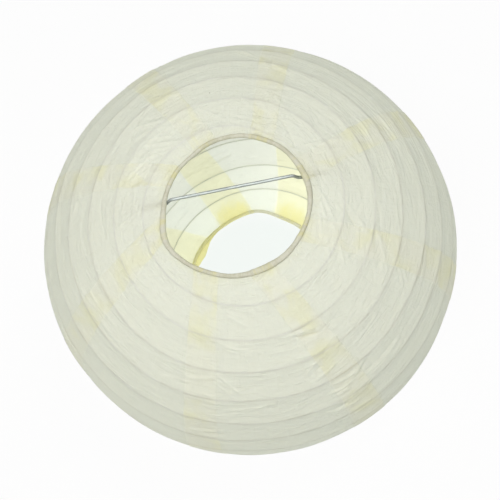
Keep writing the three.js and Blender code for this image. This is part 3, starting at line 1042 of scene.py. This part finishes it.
def makeHemPaper():
    look = hemLook
    material, tree, surface, output = newMaterial("hemPaper")
    place = factOf(tree, "paperPlace", vector=True)
    seamGap = factOf(tree, "seamGap")
    flapShare = factOf(tree, "flapShare")
    fibre = useGroup(tree, tissueFibre, place=place, cloudAmount=2.4, fibreAmount=0.9)
    colour = mixColour(tree, ramp(tree, fibre["tone"], 0.2, 0.7), look["cloudy"], look["plain"])
    atLap = ramp(tree, seamGap, 0.5, 1.6, 0.05, -0.5)
    loose = ramp(tree, flapShare, 0.0, 0.6, 0.0, 1.1)
    reach = plus(tree, atLap, loose)
    stain = useGroup(tree, driedPaste, place=place, reach=reach, blotch=1.4)["stain"]
    colour = mixColour(tree, times(tree, stain, 0.85), colour, look["paste"])
    # painted shade lines along the roll, broken up by noise
    broken = ramp(tree, noiseOf(tree, place, 0.2, 2.0), 0.3, 0.6, 0.5, 1.0)
    colour = mixColour(tree, times(tree, factOf(tree, "grooveShade"), broken), colour, look["grooveShade"])
    inputs = {"Base Color": colour, "Roughness": look["roughness"], "Specular IOR Level": 0.25}
    giveAll(tree, surface, inputs)
    pleat = noiseOf(tree, stretch(tree, place, 0.9, 0.9, 0.1), 1.0, 3.0, 0.6, 0.4)
    bump = bumpInto(tree, surface, plus(tree, times(tree, pleat, 0.3), fibre["height"]), 0.8)
    loose = hemPlan["flapLevel"]
    passing = ramp(tree, levelOf(tree, place), loose - 10, loose, look["throughRoll"], look["through"])
    letThrough(tree, surface, output, passing, colour, bump)
    return material


# each look's last number sets how much painted shade darkens the wire's edges
wireLooks = {
    "ribWire": {
        "bright": (0.86, 0.87, 0.78, 1), "dark": (0.68, 0.69, 0.61, 1),
        "oxide": 0.6, "metallic": 0.1, "roughness": 0.5, "edgeShade": 0.3,
    },
    "ringWire": {
        "bright": (0.52, 0.54, 0.55, 1), "dark": (0.30, 0.31, 0.31, 1),
        "oxide": 0.5, "metallic": 0.85, "roughness": 0.42, "edgeShade": 0.5,
    },
    "galvanisedWire": {
        "bright": (0.55, 0.59, 0.57, 1), "dark": (0.17, 0.19, 0.185, 1),
        "oxide": 0.45, "metallic": 0.9, "roughness": 0.42, "edgeShade": 0.6,
    },
}


def makeWire(name):
    look = wireLooks[name]
    material, tree, surface, output = newMaterial(name)
    place = factOf(tree, "wirePlace", vector=True)
    drawn = useGroup(tree, drawnWire, place=place, oxide=look["oxide"])
    colour = mixColour(tree, ramp(tree, drawn["tone"], 0.34, 0.62), look["dark"], look["bright"])
    colour = mixColour(tree, times(tree, drawn["dull"], 0.5), colour, look["dark"])
    # painted shade along the wire's edges, where it turns away from the view
    slant = addNode(tree, "LayerWeight", {"Blend": 0.5}).outputs["Facing"]
    colour = mixColour(tree, ramp(tree, slant, 0.3, 0.8, 0.0, look["edgeShade"]), colour, look["dark"])
    rough = look["roughness"]
    giveAll(tree, surface, {
        "Base Color": colour,
        "Metallic": look["metallic"],
        "Roughness": ramp(tree, drawn["dull"], 0.0, 1.0, rough, rough + 0.25),
    })
    bumpInto(tree, surface, drawn["height"], 0.7)
    return material


stagePlan = {
    "floorSize": 3.0,
    "floor": (0.93, 0.93, 0.93, 1),
    "floorMottle": (0.90, 0.90, 0.90, 1),
    "paintedShade": (0.91, 0.955, 0.925, 1),  # painted shade of the floor under the lantern, tinted as by light that came through the paper
    "shadowShare": 0.05,  # how much of the floor's own light the camera sees
    "floorPoints": 13,
    "paintedShadeReach": (0.045, 0.075),
    "aimHeight": 0.12,  # of what the two high lamps point at
    "skyStrength": 0.183,
    "keyPower": 10.6,
    "keyAt": (228.0, 68.0, 1.6),  # azimuth, elevation, distance
    "keySize": 0.6,
    "sidePower": 6.3,
    "sideAt": (36.0, 70.0, 1.6),
    "sideSize": 0.5,
    "tablePower": 0.445,  # the glow of the lit table under the lantern
    "tableSize": 0.52,
    "tableRise": 0.0003,
    "tableColour": (0.93, 0.97, 1.0),
    "insidePower": 0.088,  # and of what it throws up inside
    "insideRise": 0.035,
    "insideSize": 0.045,
    "insideColour": (0.93, 0.98, 1.0),
}
white = (1, 1, 1, 1)


def behindFactor(tree):
    # 1 where the camera sees the stage, straight or through something
    path = addNode(tree, "LightPath").outputs
    passed = times(tree, path["Is Transmission Ray"], minus(tree, 1.0, path["Is Diffuse Ray"]))
    seen = most(tree, path["Is Camera Ray"], path["Is Glossy Ray"])
    return most(tree, seen, passed)


def makeFloor():
    plan = stagePlan
    half = plan["floorSize"] / 2
    count = plan["floorPoints"]
    line = np.linspace(-half, half, count)
    points = np.zeros((count, count, 3))
    points[:, :, 0] = line[:, None]
    points[:, :, 1] = line[None, :]
    floor = gridObject("paleFloor", points, {})
    material, tree, surface, output = newMaterial("paleFloor")
    place = addNode(tree, "TexCoord").outputs["Object"]
    mottle = mixColour(tree, noiseOf(tree, place, 3.0, 4.0), plan["floorMottle"], plan["floor"])
    giveAll(tree, surface, {"Base Color": mottle, "Roughness": 0.9, "Specular IOR Level": 0.1})
    # painted shade: the floor's white is darker and greener under the lantern
    fromMiddle = addNode(tree, "VectorMath", {0: place}, operation="LENGTH").outputs["Value"]
    underLanternShade = ramp(tree, fromMiddle, *plan["paintedShadeReach"], 1.0, 0.0)
    pale = addNode(tree, "Emission", {"Color": mixColour(tree, underLanternShade, white, plan["paintedShade"]), "Strength": 1.0})
    share = times(tree, behindFactor(tree), 1 - plan["shadowShare"])
    mixInto(tree, output, share, surface, pale)
    floor.data.materials.append(material)


def makeWorld():
    world = bpy.data.worlds.new("softRoom")
    bpy.context.scene.world = world
    world.use_nodes = True
    tree = world.node_tree
    tree.nodes.clear()
    output = addNode(tree, "OutputWorld")
    sky = addNode(tree, "Background", {"Color": white, "Strength": stagePlan["skyStrength"]})
    pale = addNode(tree, "Background", {"Color": white, "Strength": 1.0})
    mixInto(tree, output, behindFactor(tree), sky, pale)


def newLight(name, kind, power, size, location, turned=(0, 0, 0)):
    lamp = bpy.data.lights.new(name, kind)
    lamp.energy = power
    if kind == "AREA":
        lamp.shape = "DISK"
        lamp.size = size
    else:
        lamp.shadow_soft_size = size
    light = bpy.data.objects.new(name, lamp)
    light.location = location
    light.rotation_euler = turned
    bpy.context.scene.collection.objects.link(light)
    return light


def softLight(name, power, size, azimuth, elevation, distance):
    a, e = math.radians(azimuth), math.radians(elevation)
    aside = distance * math.cos(e)
    place = (aside * math.cos(a), aside * math.sin(a), stagePlan["aimHeight"] + distance * math.sin(e))
    newLight(name, "AREA", power, size, place, (math.pi / 2 - e, 0, a + math.pi / 2))


def hiddenLight(light, colour):
    light.data.color = colour
    light.visible_camera = False
    light.visible_glossy = False


def makeLights():
    plan = stagePlan
    softLight("keyLight", plan["keyPower"], plan["keySize"], *plan["keyAt"])
    softLight("sideLight", plan["sidePower"], plan["sideSize"], *plan["sideAt"])
    low = (0, 0, plan["tableRise"])
    table = newLight("tableLight", "AREA", plan["tablePower"], plan["tableSize"], low, (math.pi, 0, 0))
    hiddenLight(table, plan["tableColour"])
    rise = centreHeight * mm + plan["insideRise"]
    inside = newLight("insideLight", "POINT", plan["insidePower"], plan["insideSize"], (0, 0, rise))
    hiddenLight(inside, plan["insideColour"])


# fitted to the photo, in metres and degrees
cameraPlan = {
    "sensor": 36,
    "lens": 60.19,
    "location": (0.018908, -0.141498, 0.722913),
    "rotation": (12.4298, 4.1441, -10.4815),
}


def makeCamera():
    data = bpy.data.cameras.new("photoCamera")
    data.sensor_width = cameraPlan["sensor"]
    data.lens = cameraPlan["lens"]
    camera = bpy.data.objects.new("photoCamera", data)
    camera.location = cameraPlan["location"]
    camera.rotation_euler = [math.radians(a) for a in cameraPlan["rotation"]]
    bpy.context.scene.collection.objects.link(camera)
    bpy.context.scene.camera = camera


makeFloor()
makeWorld()
makeLights()
makeCamera()
bpy.context.scene.view_settings.view_transform = "Standard"
print("floor, lights and camera placed")


lanternPaper = makePaper()
hemPaper = makeHemPaper()
ribMetal = makeWire("ribWire")
ringMetal = makeWire("ringWire")
expanderMetal = makeWire("galvanisedWire")

for number, piece in enumerate(paperGores, start=1):
    piece.data.materials.append(lanternPaper)
    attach(piece, "globe")
    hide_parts(f"paper_gore_{number}")
    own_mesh(piece)

ribWire.data.materials.append(ribMetal)
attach(ribWire, "globe")
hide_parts("rib_helix")
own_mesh(ribWire)

for piece, body, node, slot, material in [
    (topRingWire, "top_collar", "top_ring", "ring_wire", ringMetal),
    (topHem, "top_collar", "top_hem", "hem_paper", hemPaper),
    (bottomRingWire, "globe", "bottom_ring", "ring_wire", ringMetal),
    (bottomHem, "globe", "bottom_hem", "hem_paper", hemPaper),
    (expanderWire, "expander", "wire_expander", "expander_wire", expanderMetal),
]:
    piece.data.materials.append(material)
    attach(piece, body)
    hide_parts(node)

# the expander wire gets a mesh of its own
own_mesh(expanderWire)
print("finishes and joints given")
